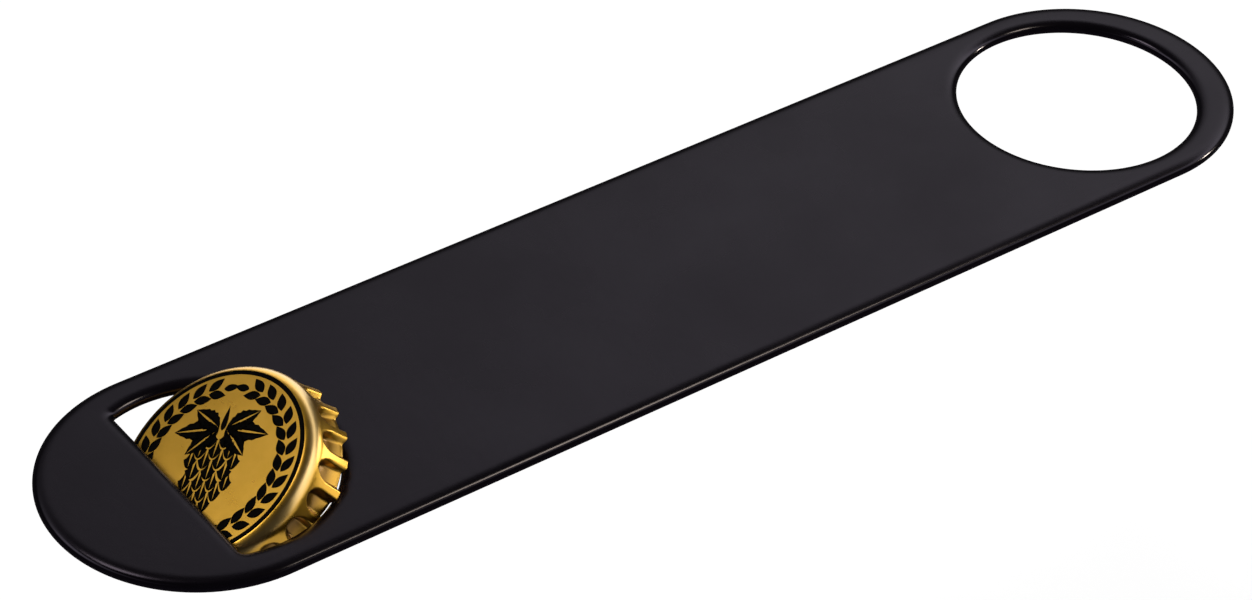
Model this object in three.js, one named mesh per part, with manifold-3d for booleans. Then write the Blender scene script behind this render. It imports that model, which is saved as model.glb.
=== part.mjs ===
// Bar-blade bottle opener with a crown cap caught in its cut-out. Millimetres, +Z up.
// The origin is at the centre of the blade's underside. +X runs along the blade to the finger hole.
import * as THREE from 'three';
import { mergeVertices } from 'three/addons/utils/BufferGeometryUtils.js';
import Module from 'manifold-3d';

const wasm = await Module();
wasm.setup();

// Blade: a 7 inch bar with round ends, stamped from 16 gauge stainless steel
const BLADE_LENGTH = 177.4;
const BLADE_WIDTH = 40;
const STEEL_THICKNESS = 1.5;
const END_RADIUS = BLADE_WIDTH / 2;
const END_CENTRE = BLADE_LENGTH / 2 - END_RADIUS;
const EDGE_FLAT = 0.04;               // what the full-round edges leave straight at mid-thickness
const EDGE_STEPS = 3;
const END_STEPS = 30;

// Coat: a fused-powder skin all round the steel
const COAT_THICKNESS = 0.16;
const COAT_SLACK = 0.01;              // room between the steel and its skin
const COATED_THICKNESS = STEEL_THICKNESS + 2 * (COAT_THICKNESS + COAT_SLACK);

// Openings, measured on the coated wall at mid-thickness
const FINGER_HOLE_CENTRE = 67.5;
const FINGER_HOLE_RADIUS = 16;
const FINGER_HOLE_STEPS = 44;
const CUTOUT_CENTRE = -67.6;
const CUTOUT_RADIUS = 15.4;
const CUTOUT_STEPS = 36;
const LIP_X = -72.3;                  // the straight lip that bears on a cap's top
const LIP_CORNER_RADIUS = 0.8;
const LIP_CORNER_STEPS = 4;

// Bare spot in the finger hole's wall, where the coating line's hook touched the steel
const HOOK_MARK_RADIUS = 0.45;
const HOOK_MARK_DEPTH = 0.5;
const HOOK_MARK_ANGLE = THREE.MathUtils.degToRad(107);

// Crown cap: its own frame has the top face at z = 0, the teeth below it and local +X at the pried side
const CAP_BODY_RADIUS = 13.86;
const CAP_HEIGHT = 6.2;
const CAP_SHEET = 0.25;
const CAP_SHOULDER = 2;
const FLUTES = 21;
const FLUTE_STEPS = 6;
const FLUTE_DEPTH = 1.15;
const FLUTE_PHASE = 0.11;             // radians from local +X to the nearest tooth
const TOOTH_RADIUS = 14.2;            // all round, as the bottling line crimps it
const TOOTH_RADIUS_PRIED = 15.02;     // where the opener has bent the skirt out
const PRIED_HALF_ANGLE = THREE.MathUtils.degToRad(50);
const FLARE_POWER = 1.2;
const FLUTE_RUN_IN = 1.6;             // how soon below the shoulder the flutes reach their depth

// Liner: a moulded disc with a sealing bead, under the cap's top sheet
const LINER_GAP = 0.15;
const LINER_THICKNESS = 0.5;
const LINER_RADIUS = 12.3;
const LINER_BEAD_RADIUS = 11.2;
const LINER_BEAD_HEIGHT = 0.55;
const LINER_STEPS = 48;

// The caught cap's place: its top face's centre and its two tilts
const CAP_PLACE = new THREE.Vector3(-67.49, -0.17, 2.52);
const CAP_ROLL = THREE.MathUtils.degToRad(-4.7);
const CAP_TILT = THREE.MathUtils.degToRad(-32.3);

// Points along an arc, the first included and the last left to the next stretch
function arc(x, y, radius, from, to, steps) {
  return Array.from({ length: steps }, (_, i) => {
    const angle = from + ((to - from) * i) / steps;
    return new THREE.Vector2(x + radius * Math.cos(angle), y + radius * Math.sin(angle));
  });
}

// Outline with half-round ends, drawn in from the coated edge by inset
function barOutline(inset) {
  const radius = END_RADIUS - inset;
  const quarter = Math.PI / 2;
  return [
    ...arc(END_CENTRE, 0, radius, -quarter, quarter, END_STEPS),
    new THREE.Vector2(END_CENTRE, radius),
    ...arc(-END_CENTRE, 0, radius, quarter, 3 * quarter, END_STEPS),
    new THREE.Vector2(-END_CENTRE, -radius),
  ];
}

// Circle cut off by the straight lip, with a small fillet in each corner, let out by inset
function cutoutOutline(inset) {
  const radius = CUTOUT_RADIUS + inset;
  const lip = LIP_X - inset;
  const fillet = LIP_CORNER_RADIUS + inset;
  const filletX = lip + fillet;
  const filletY = Math.sqrt((radius - fillet) ** 2 - (filletX - CUTOUT_CENTRE) ** 2);
  const meet = Math.atan2(filletY, filletX - CUTOUT_CENTRE);
  return [
    ...arc(CUTOUT_CENTRE, 0, radius, -meet, meet, CUTOUT_STEPS),
    ...arc(filletX, filletY, fillet, meet, Math.PI, LIP_CORNER_STEPS),
    new THREE.Vector2(lip, filletY),
    ...arc(filletX, -filletY, fillet, Math.PI, 2 * Math.PI - meet, LIP_CORNER_STEPS),
  ];
}

// Bar with full-round edges, inset on every side from the coated surface
function bar(inset) {
  const thickness = COATED_THICKNESS - 2 * inset;
  const bevel = (thickness - EDGE_FLAT) / 2;
  const shape = new THREE.Shape(barOutline(inset));
  const fingerHole = arc(FINGER_HOLE_CENTRE, 0, FINGER_HOLE_RADIUS + inset, 0, 2 * Math.PI, FINGER_HOLE_STEPS);
  shape.holes.push(new THREE.Path(fingerHole), new THREE.Path(cutoutOutline(inset)));
  const geometry = new THREE.ExtrudeGeometry(shape, {
    depth: EDGE_FLAT,
    bevelThickness: bevel,
    bevelSize: bevel,
    bevelOffset: -bevel,
    bevelSegments: EDGE_STEPS,
  });
  return geometry.translate(0, 0, inset + bevel);
}

function toManifold(geometry) {
  const bare = geometry.clone();
  bare.deleteAttribute('normal');
  bare.deleteAttribute('uv');
  const merged = mergeVertices(bare);
  return new wasm.Manifold(new wasm.Mesh({
    numProp: 3,
    vertProperties: new Float32Array(merged.attributes.position.array),
    triVerts: new Uint32Array(merged.index.array),
  }));
}

function toGeometry(solid) {
  const mesh = solid.getMesh();
  const geometry = new THREE.BufferGeometry();
  geometry.setAttribute('position', new THREE.BufferAttribute(mesh.vertProperties, 3));
  geometry.setIndex(new THREE.BufferAttribute(mesh.triVerts, 1));
  return geometry;
}

// Short rod through the coat only, along the finger hole's radius at mid-thickness
function hookMark() {
  const rod = new THREE.CylinderGeometry(HOOK_MARK_RADIUS, HOOK_MARK_RADIUS, HOOK_MARK_DEPTH, 12);
  const reach = FINGER_HOLE_RADIUS + COAT_THICKNESS - HOOK_MARK_DEPTH / 2;
  rod.rotateZ(HOOK_MARK_ANGLE + Math.PI / 2);
  return rod.translate(
    FINGER_HOLE_CENTRE + reach * Math.cos(HOOK_MARK_ANGLE),
    reach * Math.sin(HOOK_MARK_ANGLE),
    COATED_THICKNESS / 2,
  );
}

function steelBlade() {
  return bar(COAT_THICKNESS + COAT_SLACK);
}

function blackCoat() {
  const skin = toManifold(bar(0)).subtract(toManifold(bar(COAT_THICKNESS)));
  return toGeometry(skin.subtract(toManifold(hookMark())));
}

// Radius of the teeth at an angle: crimped all round, bent out on the pried side
function toothRadius(angle) {
  const pried = Math.exp(-((angle / PRIED_HALF_ANGLE) ** 4));
  return TOOTH_RADIUS + (TOOTH_RADIUS_PRIED - TOOTH_RADIUS) * pried;
}

// How far the pleated skirt stands out from the plain body at an angle and a height
function skirtOffset(angle, height) {
  const down = Math.max(0, (-height - CAP_SHOULDER) / (CAP_HEIGHT - CAP_SHOULDER));
  const crest = 0.5 + 0.5 * Math.cos(FLUTES * (angle - FLUTE_PHASE));
  const flare = (toothRadius(angle) - CAP_BODY_RADIUS) * down ** FLARE_POWER;
  return flare - FLUTE_DEPTH * Math.min(1, FLUTE_RUN_IN * down) * (1 - crest);
}

// One side of the drawn sheet, from the centre of the top to the teeth
function capProfile(sheet) {
  const centreRadius = CAP_BODY_RADIUS - CAP_SHOULDER;
  const bend = CAP_SHOULDER - sheet;
  const shoulder = arc(centreRadius, -CAP_SHOULDER, bend, Math.PI / 2, 0, 4);
  const drops = [0, 0.2, 0.4, 0.62, 0.82, 1];
  const skirt = drops.map((drop) => new THREE.Vector2(
    CAP_BODY_RADIUS - sheet,
    -CAP_SHOULDER - drop * (CAP_HEIGHT - CAP_SHOULDER),
  ));
  return [new THREE.Vector2(0, -sheet), ...shoulder, ...skirt];
}

// A profile turned about +Z, starting at the angle of a tooth
function turned(profile, steps) {
  const start = FLUTE_PHASE + Math.PI / 2;
  return new THREE.LatheGeometry(profile, steps, start).rotateX(Math.PI / 2);
}

function capShell() {
  const profile = [...capProfile(CAP_SHEET), ...capProfile(0).reverse()];
  const geometry = turned(profile, FLUTES * FLUTE_STEPS);
  const place = geometry.attributes.position;
  for (let i = 0; i < place.count; i += 1) {
    const radius = Math.hypot(place.getX(i), place.getY(i));
    if (place.getZ(i) < -CAP_SHOULDER) {
      const angle = Math.atan2(place.getY(i), place.getX(i));
      const grown = (radius + skirtOffset(angle, place.getZ(i))) / radius;
      place.setXY(i, place.getX(i) * grown, place.getY(i) * grown);
    }
  }
  return geometry;
}

function capLiner() {
  const top = -CAP_SHEET - LINER_GAP;
  const face = top - LINER_THICKNESS;
  const bead = face - LINER_BEAD_HEIGHT;
  const points = [
    [0, face],
    [LINER_BEAD_RADIUS - 1.6, face],
    [LINER_BEAD_RADIUS - 0.8, bead + 0.12],
    [LINER_BEAD_RADIUS, bead],
    [LINER_BEAD_RADIUS + 0.8, bead + 0.12],
    [LINER_RADIUS, face],
    [LINER_RADIUS, top - 0.15],
    [LINER_RADIUS - 0.3, top],
    [0, top],
  ];
  return turned(points.map(([radius, height]) => new THREE.Vector2(radius, height)), LINER_STEPS);
}

function piece(name, geometry, color, roughness, metalness) {
  const mesh = new THREE.Mesh(geometry, new THREE.MeshStandardMaterial({ color, roughness, metalness }));
  mesh.name = name;
  return mesh;
}

const blade = new THREE.Group();
blade.add(
  piece('steel_blade', steelBlade(), 0xb9bbbd, 0.35, 1),
  piece('black_coat', blackCoat(), 0x232125, 0.28, 0),
);

const crownCap = new THREE.Group();
crownCap.add(
  piece('cap_shell', capShell(), 0xb98c2d, 0.3, 1),
  piece('cap_liner', capLiner(), 0xd9d6cc, 0.6, 0),
);
crownCap.position.copy(CAP_PLACE);
crownCap.rotation.set(CAP_ROLL, CAP_TILT, 0, 'XYZ');

const opener = new THREE.Group();
opener.add(blade, crownCap);

export default opener;
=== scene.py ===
# %% [markdown]
# # A bar-blade bottle opener with a crown cap caught in it
# The opener is one flat steel bar in a thick black coat. A finger hole is at one end and a D-shaped cut-out
# at the other, and a pried crown cap is still caught in the cut-out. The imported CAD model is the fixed
# frame of this scene: every surface below is worked out in that same frame, in metres, so nothing is fitted
# afterwards.

# %% Load the frame
import math

import bmesh
import bpy
import numpy as np
from mathutils import Matrix, Vector
from mathutils.geometry import tessellate_polygon


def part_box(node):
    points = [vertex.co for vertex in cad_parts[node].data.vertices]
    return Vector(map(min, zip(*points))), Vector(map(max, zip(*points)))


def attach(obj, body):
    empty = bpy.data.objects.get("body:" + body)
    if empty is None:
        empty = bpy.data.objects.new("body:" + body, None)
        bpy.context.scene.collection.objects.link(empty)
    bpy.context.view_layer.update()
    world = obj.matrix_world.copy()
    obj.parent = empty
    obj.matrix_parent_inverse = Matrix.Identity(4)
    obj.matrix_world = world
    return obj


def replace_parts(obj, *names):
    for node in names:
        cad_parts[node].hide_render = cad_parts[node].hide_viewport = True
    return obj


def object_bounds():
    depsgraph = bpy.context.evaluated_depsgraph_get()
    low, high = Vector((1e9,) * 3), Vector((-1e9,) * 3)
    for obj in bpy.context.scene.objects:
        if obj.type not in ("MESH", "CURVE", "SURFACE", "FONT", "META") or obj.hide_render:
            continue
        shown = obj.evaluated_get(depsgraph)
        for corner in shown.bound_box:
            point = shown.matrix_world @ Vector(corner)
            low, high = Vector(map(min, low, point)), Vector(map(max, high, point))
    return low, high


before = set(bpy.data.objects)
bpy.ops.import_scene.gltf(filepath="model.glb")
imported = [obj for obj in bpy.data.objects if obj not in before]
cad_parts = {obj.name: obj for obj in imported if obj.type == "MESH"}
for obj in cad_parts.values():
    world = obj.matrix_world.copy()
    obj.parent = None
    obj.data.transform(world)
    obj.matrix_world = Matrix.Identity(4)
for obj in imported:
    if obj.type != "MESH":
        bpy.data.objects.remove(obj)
cad_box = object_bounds()
MM = 0.001
print("CAD nodes:", sorted(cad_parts))

# %% [markdown]
# ## Driving sizes
# The blade's length, width and thickness come from the box of its coat. The places of the two openings and
# of the cap are the design's own, so they are named once here and everything else follows from them.

# %% Sizes of the blade
coat_low, coat_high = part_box("black_coat")
BLADE_LENGTH = coat_high.x - coat_low.x
BLADE_WIDTH = coat_high.y - coat_low.y
BLADE_THICKNESS = coat_high.z - coat_low.z
END_RADIUS = BLADE_WIDTH / 2
END_CENTRE = BLADE_LENGTH / 2 - END_RADIUS
FINGER_CENTRE = 67.5 * MM
FINGER_RADIUS = 16.0 * MM
CUTOUT_CENTRE = -67.6 * MM
CUTOUT_RADIUS = 15.4 * MM
LIP_X = -72.3 * MM
LIP_CORNER = 0.8 * MM
print(f"blade {BLADE_LENGTH / MM:.1f} x {BLADE_WIDTH / MM:.1f} x {BLADE_THICKNESS / MM:.2f} mm")

# %% Sizes of the crown cap
CAP_BODY = 13.86 * MM
CAP_HEIGHT = 6.2 * MM
CAP_SHEET = 0.24 * MM
PANEL_RADIUS = 12.1 * MM
PANEL_DOME = 0.2 * MM
SHOULDER_DROP = 2.1 * MM
FLUTES = 21
FLUTE_PHASE = 0.11
TOOTH = 14.2 * MM
TOOTH_PRIED = 15.02 * MM
TOOTH_SQUEEZE = 0.35 * MM
PRIED_MIDDLE = math.radians(-12)
PRIED_HALF_ANGLE = math.radians(60)
GATHER = 0.065
GATHER_MIDDLE = math.radians(-45)
GATHER_REACH = math.radians(70)

# %% [markdown]
# ## The cap's own frame
# The crown cap is easiest to draw lying flat, with its top at height zero and its pried side towards +X.
# One matrix then leans it into the cut-out: it turns about Y first, then about X, and moves to its place.

# %% Place of the cap
CAP_PLACE = Vector((-67.49, -0.17, 2.52)) * MM
CAP_ROLL = math.radians(-4.7)
CAP_TILT = math.radians(-32.3)
cap_turn = Matrix.Rotation(CAP_ROLL, 4, "X") @ Matrix.Rotation(CAP_TILT, 4, "Y")
cap_matrix = Matrix.Translation(CAP_PLACE) @ cap_turn
print("cap's axis points along", [round(x, 3) for x in cap_turn.col[2][:3]])


# %% [markdown]
# ## From arrays to meshes
# Every surface is a grid of points, a row for each step of one parameter and a column for each step of the
# other. The quads between the points are index arithmetic on whole arrays, so no loop walks over the
# vertices.

# %% Grid and mesh helpers
def grid_quads(rows, cols, first=0, closed=True, flip=False):
    """Quads between neighbouring points of a grid: point (row, col) has the number first + row * cols + col.
    A closed grid joins its last column to its first one."""
    row, col = np.meshgrid(np.arange(rows - 1), np.arange(cols if closed else cols - 1), indexing="ij")
    after = (col + 1) % cols
    corners = [row * cols + col, (row + 1) * cols + col, (row + 1) * cols + after, row * cols + after]
    quads = first + np.stack(corners, axis=-1).reshape(-1, 4)
    return quads[:, ::-1] if flip else quads


def make_piece(name, points, faces, matrix=None, merge=0.0):
    """Mesh object from an array of points and lists of faces, placed by its mesh, with its object at the
    origin. Points closer together than merge become one, which closes seams and poles."""
    mesh = bpy.data.meshes.new(name)
    mesh.from_pydata(np.asarray(points).reshape(-1, 3).tolist(), [], [list(map(int, f)) for f in faces])
    if merge:
        work = bmesh.new()
        work.from_mesh(mesh)
        bmesh.ops.remove_doubles(work, verts=work.verts, dist=merge)
        work.to_mesh(mesh)
        work.free()
    if matrix is not None:
        mesh.transform(matrix)
    mesh.polygons.foreach_set("use_smooth", np.ones(len(mesh.polygons), bool))
    mesh.update()
    piece = bpy.data.objects.new(name, mesh)
    bpy.context.scene.collection.objects.link(piece)
    print(f"{name}: {len(mesh.vertices)} points, {len(mesh.polygons)} faces")
    return piece


def set_point_values(piece, name, values):
    """One number for each point of the mesh, which a material can read by this name."""
    attribute = piece.data.attributes.new(name, "FLOAT", "POINT")
    attribute.data.foreach_set("value", np.asarray(values, np.float32).ravel())


def local_points(piece, matrix=None):
    """The mesh's points as an array, taken back through matrix."""
    points = np.empty(len(piece.data.vertices) * 3)
    piece.data.vertices.foreach_get("co", points)
    points = points.reshape(-1, 3)
    if matrix is None:
        return points
    back = np.array(matrix.inverted())
    return points @ back[:3, :3].T + back[:3, 3]


def smooth_step(low, high, x):
    """0 below low, 1 above high, and the cubic 3t^2 - 2t^3 between."""
    t = np.clip((x - low) / (high - low), 0, 1)
    return t * t * (3 - 2 * t)


# %% [markdown]
# ## Outlines of the blade
# The blade has three edges: the round-ended bar, the finger hole and the D-shaped cut-out. Each is a chain
# of arcs and straight stretches, drawn by a function that can also draw it a little way into the material.
# Because the point count never changes, the same edge at several depths stacks up into a grid.

# %% Outline functions
BAR_END_POINTS = 120
BAR_SIDE_POINTS = 60
FINGER_POINTS = 180
CUTOUT_POINTS = 150
CORNER_POINTS = 12
LIP_POINTS = 30


def arc(x, y, radius, start, stop, count):
    """count points on a circle from the angle start, up to but without the angle stop."""
    angle = start + (stop - start) * np.arange(count) / count
    return np.column_stack([x + radius * np.cos(angle), y + radius * np.sin(angle)])


def straight(start, stop, count):
    """count points on the line from start, up to but without stop."""
    share = (np.arange(count) / count)[:, None]
    return np.array(start) * (1 - share) + np.array(stop) * share


def bar_outline(inset):
    """Two half circles joined by two straight sides, all drawn in by inset."""
    radius, quarter = END_RADIUS - inset, math.pi / 2
    return np.concatenate([
        arc(END_CENTRE, 0, radius, -quarter, quarter, BAR_END_POINTS),
        straight((END_CENTRE, radius), (-END_CENTRE, radius), BAR_SIDE_POINTS),
        arc(-END_CENTRE, 0, radius, quarter, 3 * quarter, BAR_END_POINTS),
        straight((-END_CENTRE, -radius), (END_CENTRE, -radius), BAR_SIDE_POINTS),
    ])


def finger_outline(inset):
    """A circle let out by inset."""
    return arc(FINGER_CENTRE, 0, FINGER_RADIUS + inset, 0, 2 * math.pi, FINGER_POINTS)


def cutout_outline(inset):
    """A circle cut off by the straight lip, with a fillet in each corner, let out by inset.
    A fillet touches the lip and the circle, so its centre is one fillet radius from both."""
    radius, lip, fillet = CUTOUT_RADIUS + inset, LIP_X - inset, LIP_CORNER + inset
    x = lip + fillet
    y = math.sqrt((radius - fillet) ** 2 - (x - CUTOUT_CENTRE) ** 2)
    meet = math.atan2(y, x - CUTOUT_CENTRE)
    return np.concatenate([
        arc(CUTOUT_CENTRE, 0, radius, -meet, meet, CUTOUT_POINTS),
        arc(x, y, fillet, meet, math.pi, CORNER_POINTS),
        straight((lip, y), (lip, -y), LIP_POINTS),
        arc(x, -y, fillet, math.pi, 2 * math.pi - meet, CORNER_POINTS),
    ])


# %% [markdown]
# ## The black coat
# Powder that is fused on a stamped bar flows together and pulls round every edge, so the real coat has no
# corner anywhere: each edge is a full round that runs out softly into the flat faces. A bevelled extrusion
# would stop at a line. Here the round is a super-ellipse, a curve between a circle and a box, carried along
# each of the three outlines, and the two flat faces are filled between the ends of those rims.

# %% Coat surface
EDGE_REACH = 1.9 * MM
EDGE_POWER_OUT = 2.7
EDGE_POWER_UP = 2.2
RIM_ROWS = 33
SMALLEST_AREA = 1e-16


def rim_profile():
    """Depth into the bar and height for each row of a rim, from the top face round to the underside. depth
    = reach * (1 - cos(t)^(2/p)) and height = half thickness * (1 + sin(t)^(2/q)), for t from 90 to -90
    degrees."""
    t = np.linspace(math.pi / 2, -math.pi / 2, RIM_ROWS)
    depth = EDGE_REACH * (1 - np.abs(np.cos(t)) ** (2 / EDGE_POWER_OUT))
    height = BLADE_THICKNESS / 2 * (1 + np.sign(t) * np.abs(np.sin(t)) ** (2 / EDGE_POWER_UP))
    return depth, height


def rim(outline):
    """Grid of points: a row for each step of the rim's profile, a column for each point of the outline."""
    depth, height = rim_profile()
    flats = map(outline, depth)
    rows = [np.column_stack([flat, np.full(len(flat), z)]) for flat, z in zip(flats, height)]
    return np.stack(rows)


def coat_surface():
    """All points and faces of the coat's outside: three rims and the two flat faces between them."""
    rims = [rim(bar_outline), rim(finger_outline), rim(cutout_outline)]
    starts = np.cumsum([0] + [r.shape[0] * r.shape[1] for r in rims])
    points = np.concatenate([r.reshape(-1, 3) for r in rims])
    faces = []
    for number, (grid, start) in enumerate(zip(rims, starts)):
        faces += grid_quads(grid.shape[0], grid.shape[1], start, flip=number > 0).tolist()
    for row in (0, RIM_ROWS - 1):
        loops = [start + row * grid.shape[1] + np.arange(grid.shape[1]) for grid, start in zip(rims, starts)]
        numbers = np.concatenate(loops)
        corners = [[Vector(points[n]) for n in loop] for loop in loops]
        triangles = numbers[np.array(tessellate_polygon(corners))]
        edge_a = points[triangles[:, 1]] - points[triangles[:, 0]]
        edge_b = points[triangles[:, 2]] - points[triangles[:, 0]]
        area = np.cross(edge_a, edge_b)[:, 2]
        wrong = (area < 0) if row == 0 else (area > 0)
        triangles[wrong] = triangles[wrong][:, ::-1]
        faces += triangles[np.abs(area) > SMALLEST_AREA].tolist()
    return points, faces


coat = make_piece("coat_skin", *coat_surface())

# %% [markdown]
# ## The hook mark
# A bar hangs from a thin hook while it is coated, and where the hook touched the wall of the finger hole
# the powder lies thin. The mark is a small ragged dimple in the coat. It is shallower than the coat is
# thick, so the steel inside stays covered.

# %% Cut the hook mark
HOOK_ANGLE = math.radians(107)
HOOK_SIZE = Vector((0.1, 0.34, 0.36)) * MM
SEAM = 1e-8
RIM_STARTS = 0.55


def ragged_ball(rows, cols):
    """A ball of radius 1 whose radius wavers with its two angles, r = 1 + 0.1 sin(3a) sin(2b)."""
    down = np.linspace(0, math.pi, rows)
    round_it = np.linspace(0, 2 * math.pi, cols, endpoint=False)
    b, a = np.meshgrid(down, round_it, indexing="ij")
    radius = 1 + 0.1 * np.sin(3 * a) * np.sin(2 * b)
    across = radius * np.sin(b)
    return np.stack([across * np.cos(a), across * np.sin(a), radius * np.cos(b)], axis=-1)


hook_place = Vector((FINGER_CENTRE, 0, BLADE_THICKNESS / 2))
hook_place += FINGER_RADIUS * Vector((math.cos(HOOK_ANGLE), math.sin(HOOK_ANGLE), 0))
hook_turn = Matrix.Rotation(HOOK_ANGLE, 4, "Z") @ Matrix.Diagonal((*HOOK_SIZE, 1))
hook_matrix = Matrix.Translation(hook_place) @ hook_turn
cutter = make_piece("hook_cutter", ragged_ball(13, 24), grid_quads(13, 24), hook_matrix, merge=SEAM)
cut = coat.modifiers.new("hook", "BOOLEAN")
cut.operation, cut.solver, cut.object = "DIFFERENCE", "EXACT", cutter
bpy.context.view_layer.update()
cut_mesh = bpy.data.meshes.new_from_object(coat.evaluated_get(bpy.context.evaluated_depsgraph_get()))
coat.modifiers.clear()
coat.data = cut_mesh
bpy.data.objects.remove(cutter)
coat_points = local_points(coat)
height_share = np.abs(coat_points[:, 2] - BLADE_THICKNESS / 2) / (BLADE_THICKNESS / 2)
set_point_values(coat, "rim", 1 - smooth_step(RIM_STARTS, 1.0, height_share))
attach(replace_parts(coat, "black_coat"), "blade")
print("coat after the cut:", len(coat.data.vertices), "points")


# %% [markdown]
# ## The crown cap's sheet
# A crown cap is one disc of tinplate drawn into a shallow cup. Its rim is then crimped into 21 flutes:
# scooped pockets with an arched top, and narrow ridges between them that end in the teeth. The opener has
# bent the skirt outwards on the pried side. Modelling one flute and spinning it would lose that bend, so
# the whole skirt is one formula in angle and height.

# %% Cap surface
CAP_COLUMNS = FLUTES * 24
PANEL_ROWS, SHOULDER_ROWS, SKIRT_ROWS = 12, 16, 44
FLUTE_TOP = 2.25 * MM
FLUTE_DEPTH = 1.15 * MM
POCKET_WIDTH = 0.68
ARCH_SHARE = 0.5
FLARE_POWER = 1.25
FLARE_BELL = 10
SHOULDER_POWER = 0.95
POCKET_EDGE = (0.45, 1.25)
SCOOP_EVEN, SCOOP_SWELL = 0.68, 0.32
SCOOP_REACH = 1.1


def cap_profile():
    """Radius and height of the unfluted sheet: a faintly domed panel, a quarter super-ellipse and a plain
    skirt."""
    panel = PANEL_RADIUS * np.linspace(0, 1, PANEL_ROWS)
    bend = np.linspace(0, math.pi / 2, SHOULDER_ROWS)[1:]
    drop = np.linspace(SHOULDER_DROP, CAP_HEIGHT, SKIRT_ROWS)[1:]
    radius = np.concatenate([
        panel,
        PANEL_RADIUS + (CAP_BODY - PANEL_RADIUS) * np.sin(bend) ** SHOULDER_POWER,
        np.full(len(drop), CAP_BODY),
    ])
    height = np.concatenate([
        PANEL_DOME * (1 - (panel / PANEL_RADIUS) ** 2),
        -SHOULDER_DROP * (1 - np.cos(bend)),
        -drop,
    ])
    return radius, height


def tooth_radius(angle):
    """Radius of the teeth: crimped all round, bent out on the pried side by a flat-topped bell curve, and
    squeezed in a little on the side opposite to it, by squeeze * (1 - cos(angle)) / 2."""
    wrapped = np.angle(np.exp(1j * (angle - PRIED_MIDDLE)))
    crimped = TOOTH - TOOTH_SQUEEZE * (1 - np.cos(angle)) / 2
    return crimped + (TOOTH_PRIED - TOOTH) * np.exp(-((wrapped / PRIED_HALF_ANGLE) ** FLARE_BELL))


def flute_phase(angle):
    """How far round its flute an angle lies, from -1 to 1, with the tooth at -1 and 1 and the pocket at 0.
    The bend has drawn the nearby flutes together: with a the angle from its middle, this adds gather *
    sin(a) * e^(-(a / reach)^4) to the angle."""
    away = np.angle(np.exp(1j * (angle - GATHER_MIDDLE)))
    drawn = angle + GATHER * np.sin(away) * np.exp(-((away / GATHER_REACH) ** 4))
    return np.angle(np.exp(1j * (drawn - FLUTE_PHASE) * FLUTES + 1j * math.pi)) / math.pi


def pocket_share(angle, height):
    """1 inside a flute's pocket and 0 on the ridges. e = (p / width)^2 + arch^2, where p runs from -1 to 1
    across a flute and arch is how far a point lies above the arch's springing line; the pocket is where e
    is under 1."""
    p = flute_phase(angle)
    down = (-height - FLUTE_TOP) / (CAP_HEIGHT - FLUTE_TOP)
    arch = np.clip((ARCH_SHARE - down) / ARCH_SHARE, 0, None)
    e = (p / POCKET_WIDTH) ** 2 + arch ** 2
    return 1 - smooth_step(*POCKET_EDGE, e)


def cap_skirt(angle, radius, height):
    """Radius with the flutes in it: the ridge flares towards its tooth, and the pocket is scooped out of
    it, by depth * (even + swell * sin(pi * reach * share of the way down))."""
    down = np.clip((-height - SHOULDER_DROP) / (CAP_HEIGHT - SHOULDER_DROP), 0, 1)
    ridge = radius + (tooth_radius(angle) - CAP_BODY) * down ** FLARE_POWER
    scoop = FLUTE_DEPTH * (SCOOP_EVEN + SCOOP_SWELL * np.sin(math.pi * np.clip(down * SCOOP_REACH, 0, 1)))
    return ridge - scoop * pocket_share(angle, height)


def cap_surface():
    """Grid of the cap's outside, a row for each step down the profile and a column for each angle."""
    radius, height = cap_profile()
    angle = FLUTE_PHASE + 2 * math.pi * np.arange(CAP_COLUMNS) / CAP_COLUMNS
    height, turned = np.meshgrid(height, angle, indexing="ij")
    radius = np.repeat(radius[:, None], CAP_COLUMNS, axis=1)
    radius = np.where(height < 0, cap_skirt(turned, radius, height), radius)
    return np.stack([radius * np.cos(turned), radius * np.sin(turned), height], axis=-1)


# %% Cap piece
# Two painted marks are kept at each point: painted shade, by how deep it lies in a pocket, and a painted
# highlight, by how far it is on the shoulder's crest.
POCKET_SHADE_FADES = (4.2 * MM, 5.8 * MM)
POCKET_SHADE_LOSS = 0.55
CREST_HIGHLIGHT_STARTS = (0.1 * MM, 0.6 * MM)
CREST_HIGHLIGHT_ENDS = (0.9 * MM, 1.8 * MM)

cap_grid = cap_surface()
cap_sheet = make_piece("cap_sheet", cap_grid, grid_quads(*cap_grid.shape[:2]), cap_matrix, merge=SEAM)
flat_points = local_points(cap_sheet, cap_matrix)
flat_angle = np.arctan2(flat_points[:, 1], flat_points[:, 0])
drop = -flat_points[:, 2]
# Painted shade: the pocket value darkens the flutes' pockets, and less towards the hem.
shade_by_depth = 1 - POCKET_SHADE_LOSS * smooth_step(*POCKET_SHADE_FADES, drop)
set_point_values(cap_sheet, "pocket", pocket_share(flat_angle, flat_points[:, 2]) * shade_by_depth)
# Painted highlight: the crest value makes the shoulder's crest pale.
crest = smooth_step(*CREST_HIGHLIGHT_STARTS, drop) * (1 - smooth_step(*CREST_HIGHLIGHT_ENDS, drop))
set_point_values(cap_sheet, "crest", crest)
wall = cap_sheet.modifiers.new("sheet", "SOLIDIFY")
wall.thickness, wall.offset, wall.use_even_offset = CAP_SHEET, -1, True
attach(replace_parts(cap_sheet, "cap_shell"), "crown_cap")

# %% [markdown]
# ## The sealing liner
# Under the top sheet lies a disc of soft compound, moulded in place with a raised bead that seals on the
# bottle's mouth. It is a turned shape: a smooth profile of height over radius, spun round the cap's axis.

# %% Liner surface
LINER_FACE_RADIUS = 12.1 * MM
LINER_BACK_RADIUS = 6 * MM
LINER_ROUND = 0.2 * MM
LINER_TOP = 0.4 * MM
LINER_WEB = 0.5 * MM
BEAD_RADIUS, BEAD_HEIGHT, BEAD_SPREAD = 11.1 * MM, 0.55 * MM, 0.62 * MM
STEP_HEIGHT = 0.12 * MM
STEP_PLACE = (8.9 * MM, 9.2 * MM)
LINER_COLUMNS = 240


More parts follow.
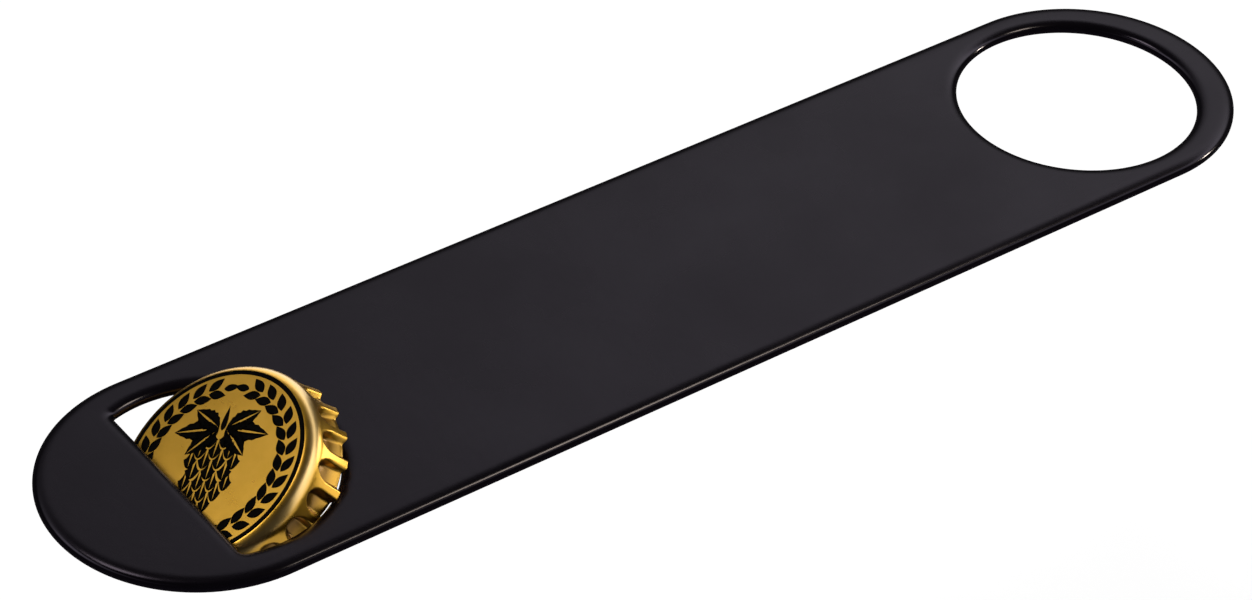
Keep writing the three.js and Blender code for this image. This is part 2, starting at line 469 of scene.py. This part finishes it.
def liner_surface():
    """Turned grid: the face is web + bead * e^(-((r - bead radius) / spread)^2) below the top, with a low
    step inside the bead, then a round rim and the flat back."""
    radius = np.concatenate([np.linspace(0, 8.5 * MM, 14), np.linspace(8.7 * MM, LINER_FACE_RADIUS, 40)])
    bead = np.exp(-(((radius - BEAD_RADIUS) / BEAD_SPREAD) ** 2))
    step = STEP_HEIGHT * smooth_step(*STEP_PLACE, radius)
    face = -LINER_TOP - LINER_WEB - BEAD_HEIGHT * bead + step * (1 - bead)
    turn = np.linspace(0, math.pi / 2, 6)[1:]
    back = [LINER_FACE_RADIUS, LINER_BACK_RADIUS, 0]
    rim_radius = np.concatenate([LINER_FACE_RADIUS + LINER_ROUND * np.sin(turn), back])
    rim_height = np.concatenate([np.linspace(face[-1], -LINER_TOP - 0.1 * MM, 5), np.full(3, -LINER_TOP)])
    profile_r = np.concatenate([radius, rim_radius])
    profile_z = np.concatenate([face, rim_height])
    angle = 2 * math.pi * np.arange(LINER_COLUMNS) / LINER_COLUMNS
    return np.stack([
        profile_r[:, None] * np.cos(angle),
        profile_r[:, None] * np.sin(angle),
        np.repeat(profile_z[:, None], LINER_COLUMNS, axis=1),
    ], axis=-1)


liner_grid = liner_surface()
liner_quads = grid_quads(*liner_grid.shape[:2], flip=True)
liner = make_piece("sealing_liner", liner_grid, liner_quads, cap_matrix, merge=SEAM)
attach(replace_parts(liner, "cap_liner"), "crown_cap")

# %% [markdown]
# ## The print
# The cap is printed in one black ink: a border line, a wreath of two barley ears round the edge and a hop
# cone with its leaves in the middle. Ink is a real layer, so each mark is a thin closed patch that follows
# the panel's dome. Grains and leaves come from one function, a centre line with a half-width that swells
# and tapers along it.

# %% Ink helpers
INK_THICKNESS = 0.012 * MM
INK_LIFT = 0.006 * MM
INK_UP = math.radians(32)
LEAF_RIPPLES = 6
ink_points, ink_faces, ink_count = [], [], 0


def panel_height(x, y):
    """Height of the cap's top at a place on the panel or the start of its shoulder."""
    radius, height = cap_profile()
    return np.interp(np.hypot(x, y), radius, height)


def add_ink(flat):
    """Adds one mark from a grid of flat (x, y) points, turned so that the print's up is up."""
    global ink_count
    rows, cols = flat.shape[:2]
    turn = INK_UP - math.pi / 2
    x = flat[..., 0] * math.cos(turn) - flat[..., 1] * math.sin(turn)
    y = flat[..., 0] * math.sin(turn) + flat[..., 1] * math.cos(turn)
    points = np.stack([x, y, panel_height(x, y) + INK_LIFT], axis=-1)
    ink_points.append(points.reshape(-1, 3))
    ink_faces.append(grid_quads(rows, cols, ink_count, closed=False))
    ink_count += rows * cols


def leaf(base, direction, length, width, belly=0.5, slit=0.0, teeth=0.0, rows=14):
    """A leaf from base along direction (degrees). Its half-width is width * sin(pi * s^k), widest where s
    is belly, with a ripple of teeth on its edge. A slit leaves a bare vein, this share of the width, along
    the middle."""
    s = np.linspace(0, 1, rows)[:, None]
    power = math.log(0.5) / math.log(belly)
    ripple = 1 + teeth * np.sin(2 * LEAF_RIPPLES * math.pi * s)
    turn = math.radians(direction)
    sides = (np.linspace(-1, -slit, 4), np.linspace(slit, 1, 4)) if slit else (np.linspace(-1, 1, 5),)
    for side in sides:
        across = side[None, :] * width * ripple * np.sin(math.pi * s ** power)
        along = s * length + 0 * side[None, :]
        x = base[0] + along * math.cos(turn) - across * math.sin(turn)
        y = base[1] + along * math.sin(turn) + across * math.cos(turn)
        add_ink(np.stack([x, y], axis=-1) * MM)


def ring_band(inner, outer, cols=240):
    """A closed band between two radii."""
    angle = np.linspace(0, 2 * math.pi, cols)[:, None]
    radius = np.linspace(outer, inner, 4)[None, :]
    add_ink(np.stack([radius * np.cos(angle), radius * np.sin(angle)], axis=-1) * MM)


# %% [markdown]
# The cone is a pattern of scales. Each row is shifted by half a scale against the one above, so a scale's
# lower edge is its own arch and its upper edge is cut by the arches of its two neighbours. A bare gap all
# round keeps the scales apart, and a bare vein splits each one.

# %% Scale helper
SCALE_ARCH = 1.15
SCALE_GAP = 0.2
SCALE_VEIN = 0.16


def scale(x, y, width, height):
    """One scale with its middle at x and its side corners at y. With u from -1 to 1 across it, the lower
    edge is y - arch * (1 - u^2) and the upper edge is y + height - arch * (1 - (1 - |u|)^2)."""
    v = np.linspace(0, 1, 5)[:, None]
    for side in (-1, 1):
        u = np.linspace(1, 0, 7)[None, :]
        low = y - SCALE_ARCH * (1 - u ** 2) + SCALE_GAP / 2
        high = y + height - SCALE_ARCH * (1 - (1 - u) ** 2) - SCALE_GAP / 2
        inner = SCALE_VEIN * v
        across = side * (inner + u * (1 - inner - SCALE_GAP / width)) * width / 2
        grid = np.stack([x + across, low + v * (high - low)], axis=-1) * MM
        add_ink(grid if side > 0 else grid[:, ::-1])


# %% Draw the border, the wreath and the hop cone
BORDER = (11.98, 12.55)
WREATH_RADIUS = 10.1
WREATH_STEPS = 13
WREATH_PITCH = 12.2
WREATH_START = 11
GRAIN_LEAN = 25
GRAIN_APART = 0.22
GRAIN_SIZE = (2.5, 0.62)
TIP_SIZE = (2.2, 0.5)
HOP_LEAVES = ((-6, 6.4), (31, 4.9), (-44, 5.2))
LEAF_WIDTH = 1.3
CONE_COUNTS = (2, 3, 4, 3, 4, 3, 2, 1)
CONE_HALVES = (2.1, 3.2, 4.2, 3.5, 4.0, 2.9, 1.9, 0.95)
CONE_TOP = 2.9
CONE_PITCH = 1.42
LEAF_BASE = 4.5


def on_circle(radius, degrees):
    """The point at this angle on a circle of this radius."""
    return radius * math.cos(math.radians(degrees)), radius * math.sin(math.radians(degrees))


ring_band(*BORDER)
for side in (-1, 1):
    for step in range(WREATH_STEPS):
        turn = -90 + side * (WREATH_START + WREATH_PITCH * step)
        for lean in (-1, 1):
            base = on_circle(WREATH_RADIUS - GRAIN_APART * lean * side, turn)
            leaf(base, turn + side * 90 + GRAIN_LEAN * lean, *GRAIN_SIZE, belly=0.45)
    turn = -90 + side * (WREATH_START + WREATH_PITCH * WREATH_STEPS)
    leaf(on_circle(WREATH_RADIUS, turn), turn + side * 90, *TIP_SIZE, belly=0.4)
for row, (count, half) in enumerate(zip(CONE_COUNTS, CONE_HALVES)):
    width = 2 * half / count
    for place in np.arange(count) - (count - 1) / 2:
        scale(place * width, CONE_TOP - CONE_PITCH * row, width, CONE_PITCH)
for side in (-1, 1):
    for direction, length in HOP_LEAVES:
        base = (0.5 * side, LEAF_BASE)
        leaf(base, 90 - side * (90 - direction), length, LEAF_WIDTH, belly=0.45, slit=0.11, teeth=0.09)
leaf((0, LEAF_BASE - 0.3), 90, 3.4, 0.4, belly=0.3)
ink = make_piece("cap_print", np.concatenate(ink_points), np.concatenate(ink_faces), cap_matrix)
film = ink.modifiers.new("film", "SOLIDIFY")
film.thickness, film.offset = INK_THICKNESS, 1
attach(ink, "crown_cap")


# %% [markdown]
# ## Finishes
# Each material reads Object coordinates, so its pattern stays on the piece from every side. The cap's
# patterns are taken back into the cap's own frame by a Mapping node. Values that are the same all over sit
# on the shader's own sockets, and only what really varies is linked.

# %% Material helpers
def new_material(name, **sockets):
    """Material with one Principled shader, and these values on its sockets."""
    material = bpy.data.materials.new(name)
    material.use_nodes = True
    shader = material.node_tree.nodes["Principled BSDF"]
    for socket, value in sockets.items():
        shader.inputs[socket.replace("_", " ")].default_value = value
    return material, shader


def add(material, kind, inputs=(), **settings):
    """A node of this kind. Settings are its properties, and inputs pair a socket with a value or another
    socket."""
    node = material.node_tree.nodes.new(kind)
    for key, value in settings.items():
        setattr(node, key, value)
    for socket, value in dict(inputs).items():
        if isinstance(value, bpy.types.NodeSocket):
            material.node_tree.links.new(value, node.inputs[socket])
        else:
            node.inputs[socket].default_value = value
    return node


def place_on(material, scale=(1, 1, 1), matrix=None):
    """Object coordinates, taken back through matrix if one is given, then stretched by scale."""
    where = add(material, "ShaderNodeTexCoord").outputs["Object"]
    if matrix is not None:
        back = {"Vector": where, "Location": matrix.to_translation()}
        back["Rotation"] = matrix.to_euler("XYZ")
        where = add(material, "ShaderNodeMapping", back, vector_type="TEXTURE").outputs[0]
    return add(material, "ShaderNodeMapping", {"Vector": where, "Scale": scale}).outputs[0]


def noise(material, where, scale, detail=3.0, roughness=0.5):
    """Noise between 0 and 1 with this many features to the metre."""
    inputs = {"Vector": where, "Scale": scale, "Detail": detail, "Roughness": roughness}
    return add(material, "ShaderNodeTexNoise", inputs).outputs["Fac"]


def ramp(material, value, low, high, from_low=0.0, from_high=1.0):
    """Value carried from one range to another, and held at its ends."""
    inputs = {"Value": value, "From Min": from_low, "From Max": from_high}
    inputs.update({"To Min": low, "To Max": high})
    return add(material, "ShaderNodeMapRange", inputs, clamp=True).outputs[0]


def blend_colours(material, share, first, second):
    """First colour where share is 0, second where it is 1. A colour is three numbers or a socket."""
    node = add(material, "ShaderNodeMix", data_type="RGBA")
    for socket, value in ((0, share), (6, first), (7, second)):
        if isinstance(value, bpy.types.NodeSocket):
            material.node_tree.links.new(value, node.inputs[socket])
        elif socket == 0:
            node.inputs[socket].default_value = value
        else:
            node.inputs[socket].default_value = (*value, 1)
    return node.outputs[2]


def combine(material, operation, first, second):
    """One of the Math node's operations on two values or sockets."""
    return add(material, "ShaderNodeMath", {0: first, 1: second}, operation=operation).outputs[0]


def bump(material, height, distance, under=None):
    """Bump of this height in metres. under is the normal of a coarser bump beneath it."""
    inputs = {"Height": height, "Distance": distance, "Strength": 1.0}
    if under is not None:
        inputs["Normal"] = under
    return add(material, "ShaderNodeBump", inputs).outputs[0]


def link(material, shader, **sources):
    """Joins sockets to the shader's inputs by name."""
    for socket, source in sources.items():
        material.node_tree.links.new(source, shader.inputs[socket.replace("_", " ")])


def point_value(material, name):
    """The number that a piece keeps at each point under this name."""
    return add(material, "ShaderNodeAttribute", attribute_name=name).outputs["Fac"]


# %% [markdown]
# ### Black powder coat
# Fused powder is glossy but never a mirror: it has the slow swell called orange peel, a few finer pits, and
# faint hairlines from sliding over a bar top. Edges that rub against glass and keys polish up first.

# %% Powder coat material
COAT_SHEEN = (0.88, 0.76, 1.0, 1)
COAT_DARK, COAT_LIGHT = (0.0022, 0.0013, 0.0032), (0.0034, 0.0022, 0.0045)
PEEL_HEIGHT, PIT_HEIGHT = 0.008 * MM, 0.001 * MM
HAIRLINE_SHARE, EDGE_POLISH, EDGE_CALM = 0.04, 0.16, 0.75


def powder_coat():
    """Near-black dielectric. Orange peel and pits are bump, hairlines and handling are roughness."""
    material, shader = new_material("black_powder_coat", Metallic=0.0, IOR=1.5, Specular_Tint=COAT_SHEEN)
    where = place_on(material)
    peel = noise(material, where, 650, detail=2)
    pits = noise(material, where, 2600, detail=2)
    along = place_on(material, scale=(60, 2600, 2600))
    hairlines = ramp(material, noise(material, along, 1.0, detail=4, roughness=0.7), 0, 1, 0.66, 0.78)
    clouds = noise(material, where, 38, detail=4, roughness=0.6)
    edge = point_value(material, "rim")
    matt = ramp(material, clouds, 0.24, 0.31, 0.3, 0.7)
    matt = combine(material, "ADD", matt, combine(material, "MULTIPLY", hairlines, HAIRLINE_SHARE))
    matt = combine(material, "SUBTRACT", matt, combine(material, "MULTIPLY", edge, EDGE_POLISH))
    patches = ramp(material, clouds, 0, 1, 0.35, 0.65)
    dark = blend_colours(material, patches, COAT_DARK, COAT_LIGHT)
    calm = combine(material, "SUBTRACT", 1.0, combine(material, "MULTIPLY", edge, EDGE_CALM))
    swell = bump(material, combine(material, "MULTIPLY", peel, calm), PEEL_HEIGHT)
    relief = bump(material, combine(material, "MULTIPLY", pits, calm), PIT_HEIGHT, under=swell)
    link(material, shader, Base_Color=dark, Roughness=matt, Normal=relief)
    return material


coat.data.materials.clear()
coat.data.materials.append(powder_coat())


# %% [markdown]
# ### Gold lacquer on tinplate
# The sheet is bright metal under a clear gold lacquer. It keeps the fine grain of the rolling mill, all in
# one direction. Painted shade darkens the pockets of the flutes, and a painted highlight makes the crest of
# the shoulder pale.

# %% Tinplate material
GOLD_DEEP, GOLD_PALE = (0.78, 0.415, 0.03), (0.86, 0.47, 0.045)
# The second row of colours is painted: a dark brown of painted shade for the pockets, and a pale cream
# painted highlight for the shoulder's crest.
GOLD_POCKET_SHADE, GOLD_CREST_HIGHLIGHT = (0.16, 0.075, 0.008), (0.84, 0.66, 0.36)
POCKET_SHADE_SHARE = 0.9
DENT_HEIGHT, GRAIN_HEIGHT = 0.02 * MM, 0.0012 * MM


def tinplate():
    """Metal with a clear coat. Grain runs along the cap's own Y, painted shade darkens the pockets and a
    painted highlight makes the crest paler."""
    finish = {"Metallic": 1.0, "Coat_Weight": 0.5, "Coat_Roughness": 0.2}
    material, shader = new_material("gold_lacquered_tinplate", **finish)
    where = place_on(material, matrix=cap_matrix)
    grain_place = place_on(material, scale=(3200, 90, 3200), matrix=cap_matrix)
    grain = noise(material, grain_place, 1.0, detail=3, roughness=0.6)
    clouds = noise(material, where, 210, detail=4, roughness=0.6)
    dents = noise(material, where, 330, detail=2)
    # Painted shade: the pockets are mixed towards a dark brown.
    pocket = point_value(material, "pocket")
    gold = blend_colours(material, ramp(material, clouds, 0, 1, 0.35, 0.65), GOLD_DEEP, GOLD_PALE)
    gold = blend_colours(material, combine(material, "MULTIPLY", pocket, POCKET_SHADE_SHARE), gold, GOLD_POCKET_SHADE)
    # Painted highlight: the crest is mixed towards a pale cream, unevenly by the clouds.
    highlight_unevenness = ramp(material, clouds, 0.35, 0.65, 0.3, 0.7)
    crest_highlight = combine(material, "MULTIPLY", point_value(material, "crest"), highlight_unevenness)
    gold = blend_colours(material, crest_highlight, gold, GOLD_CREST_HIGHLIGHT)
    matt = ramp(material, clouds, 0.26, 0.34, 0.3, 0.7)
    matt = combine(material, "ADD", matt, ramp(material, grain, -0.03, 0.03))
    swell = bump(material, dents, DENT_HEIGHT)
    relief = bump(material, grain, GRAIN_HEIGHT, under=swell)
    link(material, shader, Base_Color=gold, Roughness=matt, Normal=relief)
    return material


cap_sheet.data.materials.append(tinplate())


# %% Ink material
INK_DARK, INK_THIN = (0.003, 0.0025, 0.002), (0.012, 0.008, 0.003)


def ink_finish():
    """Black litho ink, a little uneven in gloss where the sheet's grain comes through."""
    material, shader = new_material("black_print", Metallic=0.0, IOR=1.5, Specular_IOR_Level=0.04)
    where = place_on(material, matrix=cap_matrix)
    speckle = noise(material, where, 1800, detail=3)
    tone = blend_colours(material, ramp(material, speckle, 0, 1, 0.55, 0.75), INK_DARK, INK_THIN)
    link(material, shader, Base_Color=tone, Roughness=ramp(material, speckle, 0.28, 0.42))
    return material


ink.data.materials.append(ink_finish())


# %% [markdown]
# ### Liner and steel
# The liner is a soft off-white compound with the fine circles that the moulding punch leaves. The steel,
# tumbled and slightly brushed, is covered everywhere by the coat. It has its own finish for when the coat
# is taken off.

# %% Liner and steel materials
def liner_compound():
    """Off-white rubbery plastic. Rings round the cap's axis are a sine of the distance from it."""
    finish = {"Metallic": 0.0, "Subsurface_Weight": 0.1, "Subsurface_Scale": 0.001}
    material, shader = new_material("liner_compound", **finish)
    where = place_on(material, matrix=cap_matrix)
    inputs = {"Vector": where, "Scale": 420.0, "Distortion": 0.3}
    wave = add(material, "ShaderNodeTexWave", inputs, wave_type="RINGS", rings_direction="Z")
    rings = wave.outputs["Fac"]
    mottle = noise(material, where, 500, detail=4)
    tone = blend_colours(material, mottle, (0.66, 0.63, 0.56), (0.76, 0.74, 0.69))
    relief = bump(material, rings, 0.006 * MM, under=bump(material, mottle, 0.01 * MM))
    matt = ramp(material, mottle, 0.45, 0.6)
    link(material, shader, Base_Color=tone, Roughness=matt, Normal=relief)
    return material


def bare_steel():
    """Stainless steel with short brushed lines along the bar."""
    material, shader = new_material("tumbled_stainless", Metallic=1.0)
    lines = noise(material, place_on(material, scale=(150, 4000, 4000)), 1.0, detail=3)
    tone = blend_colours(material, lines, (0.52, 0.52, 0.51), (0.66, 0.66, 0.65))
    matt = ramp(material, lines, 0.24, 0.4)
    relief = bump(material, lines, 0.002 * MM)
    link(material, shader, Base_Color=tone, Roughness=matt, Normal=relief)
    return material


liner.data.materials.append(liner_compound())
steel_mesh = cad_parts["steel_blade"].data
steel_mesh.materials.clear()
steel_mesh.materials.append(bare_steel())
print("materials:", sorted(m.name for m in bpy.data.materials))

# %% [markdown]
# ## Stage
# The opener floats over a plain pale floor, far enough that its shadow is faint and the caught cap can drop
# out without touching it. The floor glows by itself. Glossy rays pass through it, because a black piece
# shows every white thing around it in its edges, and a studio hides the table from a black product in the
# same way. Shadow rays pass through it too, so that the low lamp under the cap still reaches it.

# %% Floor
FLOOR_DROP = 60 * MM
FLOOR_Z = cad_box[0][2] - FLOOR_DROP
FLOOR_HALF = 3.0
FLOOR_WHITE, FLOOR_GLOW = 0.9, 0.85


def pale_floor():
    """Plain matt white that glows, so that it stays pale under the object."""
    white = (FLOOR_WHITE, FLOOR_WHITE, FLOOR_WHITE, 1)
    glow = {"Emission_Color": (1, 1, 1, 1), "Emission_Strength": FLOOR_GLOW}
    material, shader = new_material("pale_floor", Base_Color=white, Roughness=0.9, **glow)
    return material


floor_corners = FLOOR_HALF * np.array([[-1, -1, 0], [1, -1, 0], [1, 1, 0], [-1, 1, 0]]) + [0, 0, FLOOR_Z]
floor = make_piece("floor", floor_corners, [[0, 1, 2, 3]])
floor.data.materials.append(pale_floor())
floor.visible_glossy = False
floor.visible_shadow = False

# %% [markdown]
# ## Studio light
# A flat black face shows only what lies in its mirror direction, so the sky is not even. It has two soft
# bright patches: one to the right, which the blade mirrors more and more towards its right end, and one
# behind to the left, which fills the cap's face. Each patch is a curve of the cosine between the direction
# and the patch's centre, and both lie in one band of heights. Above and below the band the sky is nearly
# black, so the edges roll off to black.


# %% Sky
RIGHT_PATCH = (
    (0.74, 0.065, 0.669),
    ((0.3, 0.0), (0.60, 0.08), (0.745, 0.42), (0.811, 0.66), (0.859, 0.80), (0.95, 1.16), (1.0, 1.35)),
)
LEFT_PATCH = (
    (-0.604, 0.507, 0.616),
    ((0.5, 0.0), (0.80, 0.14), (0.90, 0.40), (0.94, 0.50), (0.96, 0.66), (0.975, 0.9), (1.0, 1.2)),
)
SKY_REST = 0.03
BRIGHTEST = 2.0
BAND_LOW = (0.42, 0.56)
BAND_HIGH = (0.685, 0.745)


def sky_patch(world, direction, centre, stops):
    """Brightness of one patch: its curve, given as pairs of cosine and brightness, read at the cosine."""
    centre = Vector(centre).normalized()
    dot = add(world, "ShaderNodeVectorMath", {0: direction, 1: centre}, operation="DOT_PRODUCT")
    cosine = dot.outputs["Value"]
    curve = add(world, "ShaderNodeValToRGB", {"Fac": cosine})
    elements = curve.color_ramp.elements
    elements[0].position, elements[1].position = stops[0][0], stops[-1][0]
    for place, _ in stops[1:-1]:
        elements.new(place)
    for element, (_, brightness) in zip(elements, stops):
        element.color = (*[brightness / BRIGHTEST] * 3, 1)
    return combine(world, "MULTIPLY", curve.outputs["Color"], BRIGHTEST)


def studio_sky():
    """World whose brightness depends only on direction. The camera itself sees plain white."""
    world = bpy.data.worlds.new("studio")
    world.use_nodes = True
    direction = add(world, "ShaderNodeTexCoord").outputs["Generated"]
    height = add(world, "ShaderNodeSeparateXYZ", {0: direction}).outputs["Z"]
    above = ramp(world, height, 0, 1, *BAND_LOW)
    below = ramp(world, height, 1, 0, *BAND_HIGH)
    band = combine(world, "MULTIPLY", above, below)
    right = sky_patch(world, direction, *RIGHT_PATCH)
    left = sky_patch(world, direction, *LEFT_PATCH)
    patches = combine(world, "ADD", right, left)
    level = combine(world, "ADD", combine(world, "MULTIPLY", patches, band), SKY_REST)
    seen = add(world, "ShaderNodeLightPath").outputs["Is Camera Ray"]
    level = combine(world, "MAXIMUM", level, seen)
    background = world.node_tree.nodes["Background"]
    background.inputs["Color"].default_value = (1, 1, 1, 1)
    world.node_tree.links.new(level, background.inputs["Strength"])
    return world


bpy.context.scene.world = studio_sky()


# %% [markdown]
# Three lamps add what a sky cannot. The key is a softbox high on the right, which draws the thin line along
# the near edge. The second is high on the left, for the round end. The spark is small and very bright, and
# shows as a point of light in the two places where an edge turns past it. The key and the spark light the
# coat alone.
#
# The gold cap wants the opposite of the black blade, large white cards close to it all round. Five more
# lamps light only the cap's sheet and its liner, so neither finish has to suit the other's light.


# %% Lamp helpers
LAMP_DISTANCE = 0.8
SPARK_DISTANCE = 0.6


def softbox(name, azimuth, elevation, size, radiance, colour=(1, 1, 1), only=None, distance=LAMP_DISTANCE):
    """Square area light that faces the origin from this direction, in degrees. Its power is 4 * size^2 *
    radiance. With a collection in only, it lights just the pieces in that collection."""
    light = bpy.data.lights.new(name, "AREA")
    light.shape = "SQUARE"
    light.size = size
    light.energy = 4 * size ** 2 * radiance
    light.color = colour
    lamp = bpy.data.objects.new(name, light)
    turn, lift = math.radians(azimuth), math.radians(elevation)
    toward = Vector((math.cos(lift) * math.cos(turn), math.cos(lift) * math.sin(turn), math.sin(lift)))
    lamp.location = toward * distance
    lamp.rotation_euler = toward.to_track_quat("Z", "Y").to_euler()
    lamp.visible_camera = False
    if only is not None:
        lamp.light_linking.receiver_collection = only
    bpy.context.scene.collection.objects.link(lamp)


def lit_alone(name, *pieces):
    """A collection of the only pieces that a lamp is to light."""
    group = bpy.data.collections.new(name)
    for piece in pieces:
        group.objects.link(piece)
    return group


# %% Lamps
WARM = (1.0, 0.96, 0.90)
KEY_YELLOW = (1.0, 0.97, 0.66)
SPARK_YELLOW = (1.0, 0.97, 0.70)
CAP_LAMPS = (
    ("cap_right", -12, 5, 0.30, 3.5),
    ("cap_front", -52, 26, 0.75, 1.05),
    ("cap_back", 58, 14, 0.70, 1.1),
    ("cap_sheen", 156, 40, 0.30, 2.4),
    ("cap_low", -83, -25, 0.70, 0.45),
)

coat_alone = lit_alone("blade_alone", coat)
cap_alone = lit_alone("cap_alone", cap_sheet, liner)
softbox("key", -40, 56, 0.17, 6.0, KEY_YELLOW, coat_alone)
softbox("left_top", 138, 62, 0.22, 2.6, WARM)
softbox("spark", -26, 18, 0.055, 60, SPARK_YELLOW, coat_alone, SPARK_DISTANCE)
for lamp_row in CAP_LAMPS:
    softbox(*lamp_row, only=cap_alone)

# %% Camera
CAMERA_PLACE = Vector((-264.10, -333.59, 337.42)) * MM
CAMERA_TARGET = Vector((-5.79, 1.24, -1.35)) * MM
CAMERA_ROLL = math.radians(2.44)
CAMERA_LENS = 124.1
CAMERA_SENSOR = 36.0
CAMERA_NEAREST = 0.01

lens = bpy.data.cameras.new("camera")
lens.sensor_width = CAMERA_SENSOR
lens.lens = CAMERA_LENS
lens.clip_start = CAMERA_NEAREST
camera = bpy.data.objects.new("camera", lens)
look = (CAMERA_PLACE - CAMERA_TARGET).normalized()
facing = look.to_track_quat("Z", "Y").to_matrix()
camera.rotation_euler = (facing @ Matrix.Rotation(CAMERA_ROLL, 3, "Z")).to_euler()
camera.location = CAMERA_PLACE
bpy.context.scene.collection.objects.link(camera)
bpy.context.scene.camera = camera
bpy.context.scene.view_settings.view_transform = "Standard"
